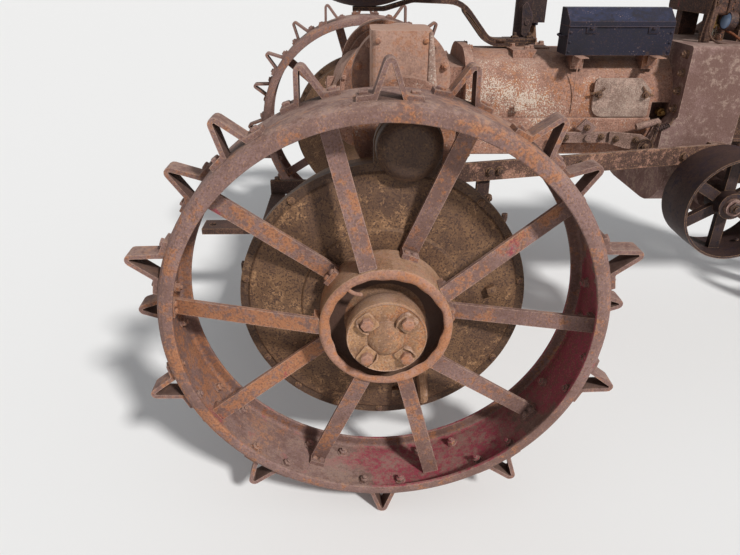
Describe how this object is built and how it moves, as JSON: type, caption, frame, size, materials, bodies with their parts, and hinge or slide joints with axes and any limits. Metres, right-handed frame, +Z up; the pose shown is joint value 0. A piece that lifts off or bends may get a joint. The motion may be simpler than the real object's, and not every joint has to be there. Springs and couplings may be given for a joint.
{
  "type": "vintage row-crop tractor on steel wheels",
  "caption": "Vintage row-crop tractor with lugged steel rear wheels, gear drops, a belt pulley, an open engine and a narrow pair of steered front wheels.",
  "frame": {"origin": "on the floor, at the middle of the tractor's outer box", "axes": "+X forward, +Y towards the tractor's left side, +Z up"},
  "size_m": [3.136, 2.15, 1.6759],
  "materials": {
    "rusty_casting": "rusted cast iron with traces of red-brown paint",
    "greasy_casting": "dark rusted cast iron with old grease",
    "orange_casting": "orange rusted cast iron",
    "engine_iron": "dark rusted engine castings",
    "cover_plate": "worn steel cover plate",
    "rim_steel": "rusted wheel steel with faded red paint",
    "spoke_steel": "rusted spokes with faded red paint",
    "frame_steel": "tan rusted bar steel",
    "black_sheet": "near-black sheet with brown rust",
    "sheet_metal": "faded red-brown sheet metal",
    "pulley_iron": "dark worn pulley iron",
    "steering_steel": "dark worn steel",
    "rubber": "old rubber of hoses, belt and wires",
    "porcelain": "stained porcelain of the spark plugs",
    "brass": "dull brass",
    "copper": "dull copper pipe",
    "glass": "stained glass bowl"
  },
  "bodies": {
    "tractor": {"gearbox": "rusty_casting", "hand_hole_cover": "cover_plate", "shift_tower": "engine_iron", "clutch_housing": "rusty_casting", "drop_housing_right": "greasy_casting", "drop_housing_left": "greasy_casting", "axle_tube_right": "rusty_casting", "axle_tube_left": "rusty_casting", "brake_housing_right": "orange_casting", "seat_spring": "frame_steel", "seat": "black_sheet", "toolbox": "black_sheet", "side_rails": "frame_steel", "frame_channels": "frame_steel", "drawbar": "frame_steel", "linkage": "frame_steel", "hanger_bracket": "frame_steel", "pulley_housing": "rusty_casting", "engine_block": "engine_iron", "manifold": "engine_iron", "exhaust_pipe": "sheet_metal", "magneto": "engine_iron", "air_cleaner": "sheet_metal", "fuel_tank": "sheet_metal", "radiator": "sheet_metal", "front_bolster": "rusty_casting", "steering_brackets": "steering_steel", "steering_post": "engine_iron"},
    "rear_wheel_right": {"rear_rim_right": "rim_steel", "rear_spokes_right": "spoke_steel", "rear_hub_right": "orange_casting"},
    "rear_wheel_left": {"rear_rim_left": "rim_steel", "rear_spokes_left": "spoke_steel", "rear_hub_left": "orange_casting"},
    "front_steering": {"front_post": "rim_steel"},
    "front_wheel_right_body": {"front_wheel_right": "rim_steel"},
    "front_wheel_left_body": {"front_wheel_left": "rim_steel"},
    "steering": {"steering_shaft": "steering_steel", "steering_wheel": "steering_steel"},
    "pulley": {"belt_pulley": "pulley_iron"},
    "fan_body": {"fan": "sheet_metal"},
    "lid": {"toolbox_lid": "black_sheet"}
  },
  "joints": [
    {"name": "rear_wheel_right_roll", "type": "hinge", "parent": "tractor", "child": "rear_wheel_right", "pos_m": [-0.928, -0.94, 0.584], "axis": [0, 1, 0], "continuous": true},
    {"name": "rear_wheel_left_roll", "type": "hinge", "parent": "tractor", "child": "rear_wheel_left", "pos_m": [-0.928, 0.94, 0.584], "axis": [0, 1, 0], "continuous": true},
    {"name": "front_steer", "type": "hinge", "parent": "tractor", "child": "front_steering", "pos_m": [1.231, 0, 0.7], "axis": [0, 0, 1], "range_deg": [-60, 60]},
    {"name": "front_wheel_right_roll", "type": "hinge", "parent": "front_steering", "child": "front_wheel_right_body", "pos_m": [1.231, -0.125, 0.3366], "axis": [0, 0.9976, 0.0698], "continuous": true},
    {"name": "front_wheel_left_roll", "type": "hinge", "parent": "front_steering", "child": "front_wheel_left_body", "pos_m": [1.231, 0.125, 0.3366], "axis": [0, 0.9976, -0.0698], "continuous": true},
    {"name": "steering_wheel_turn", "type": "hinge", "parent": "tractor", "child": "steering", "pos_m": [-0.678, 0, 1.46], "axis": [0.9976, 0, -0.0687], "range_deg": [-360, 360]},
    {"name": "belt_pulley_turn", "type": "hinge", "parent": "tractor", "child": "pulley", "pos_m": [0.172, -0.4, 0.654], "axis": [0, 1, 0], "continuous": true},
    {"name": "fan_turn", "type": "hinge", "parent": "tractor", "child": "fan_body", "pos_m": [0.946, 0, 0.985], "axis": [1, 0, 0], "continuous": true},
    {"name": "toolbox_lid_hinge", "type": "hinge", "parent": "tractor", "child": "lid", "pos_m": [-0.178, -0.096, 1.1513], "axis": [-1, 0, 0], "range_deg": [0, 100]}
  ],
  "couplings": [
    {"joint": "steering_wheel_turn", "follows": "front_steer", "ratio": 6}
  ]
}
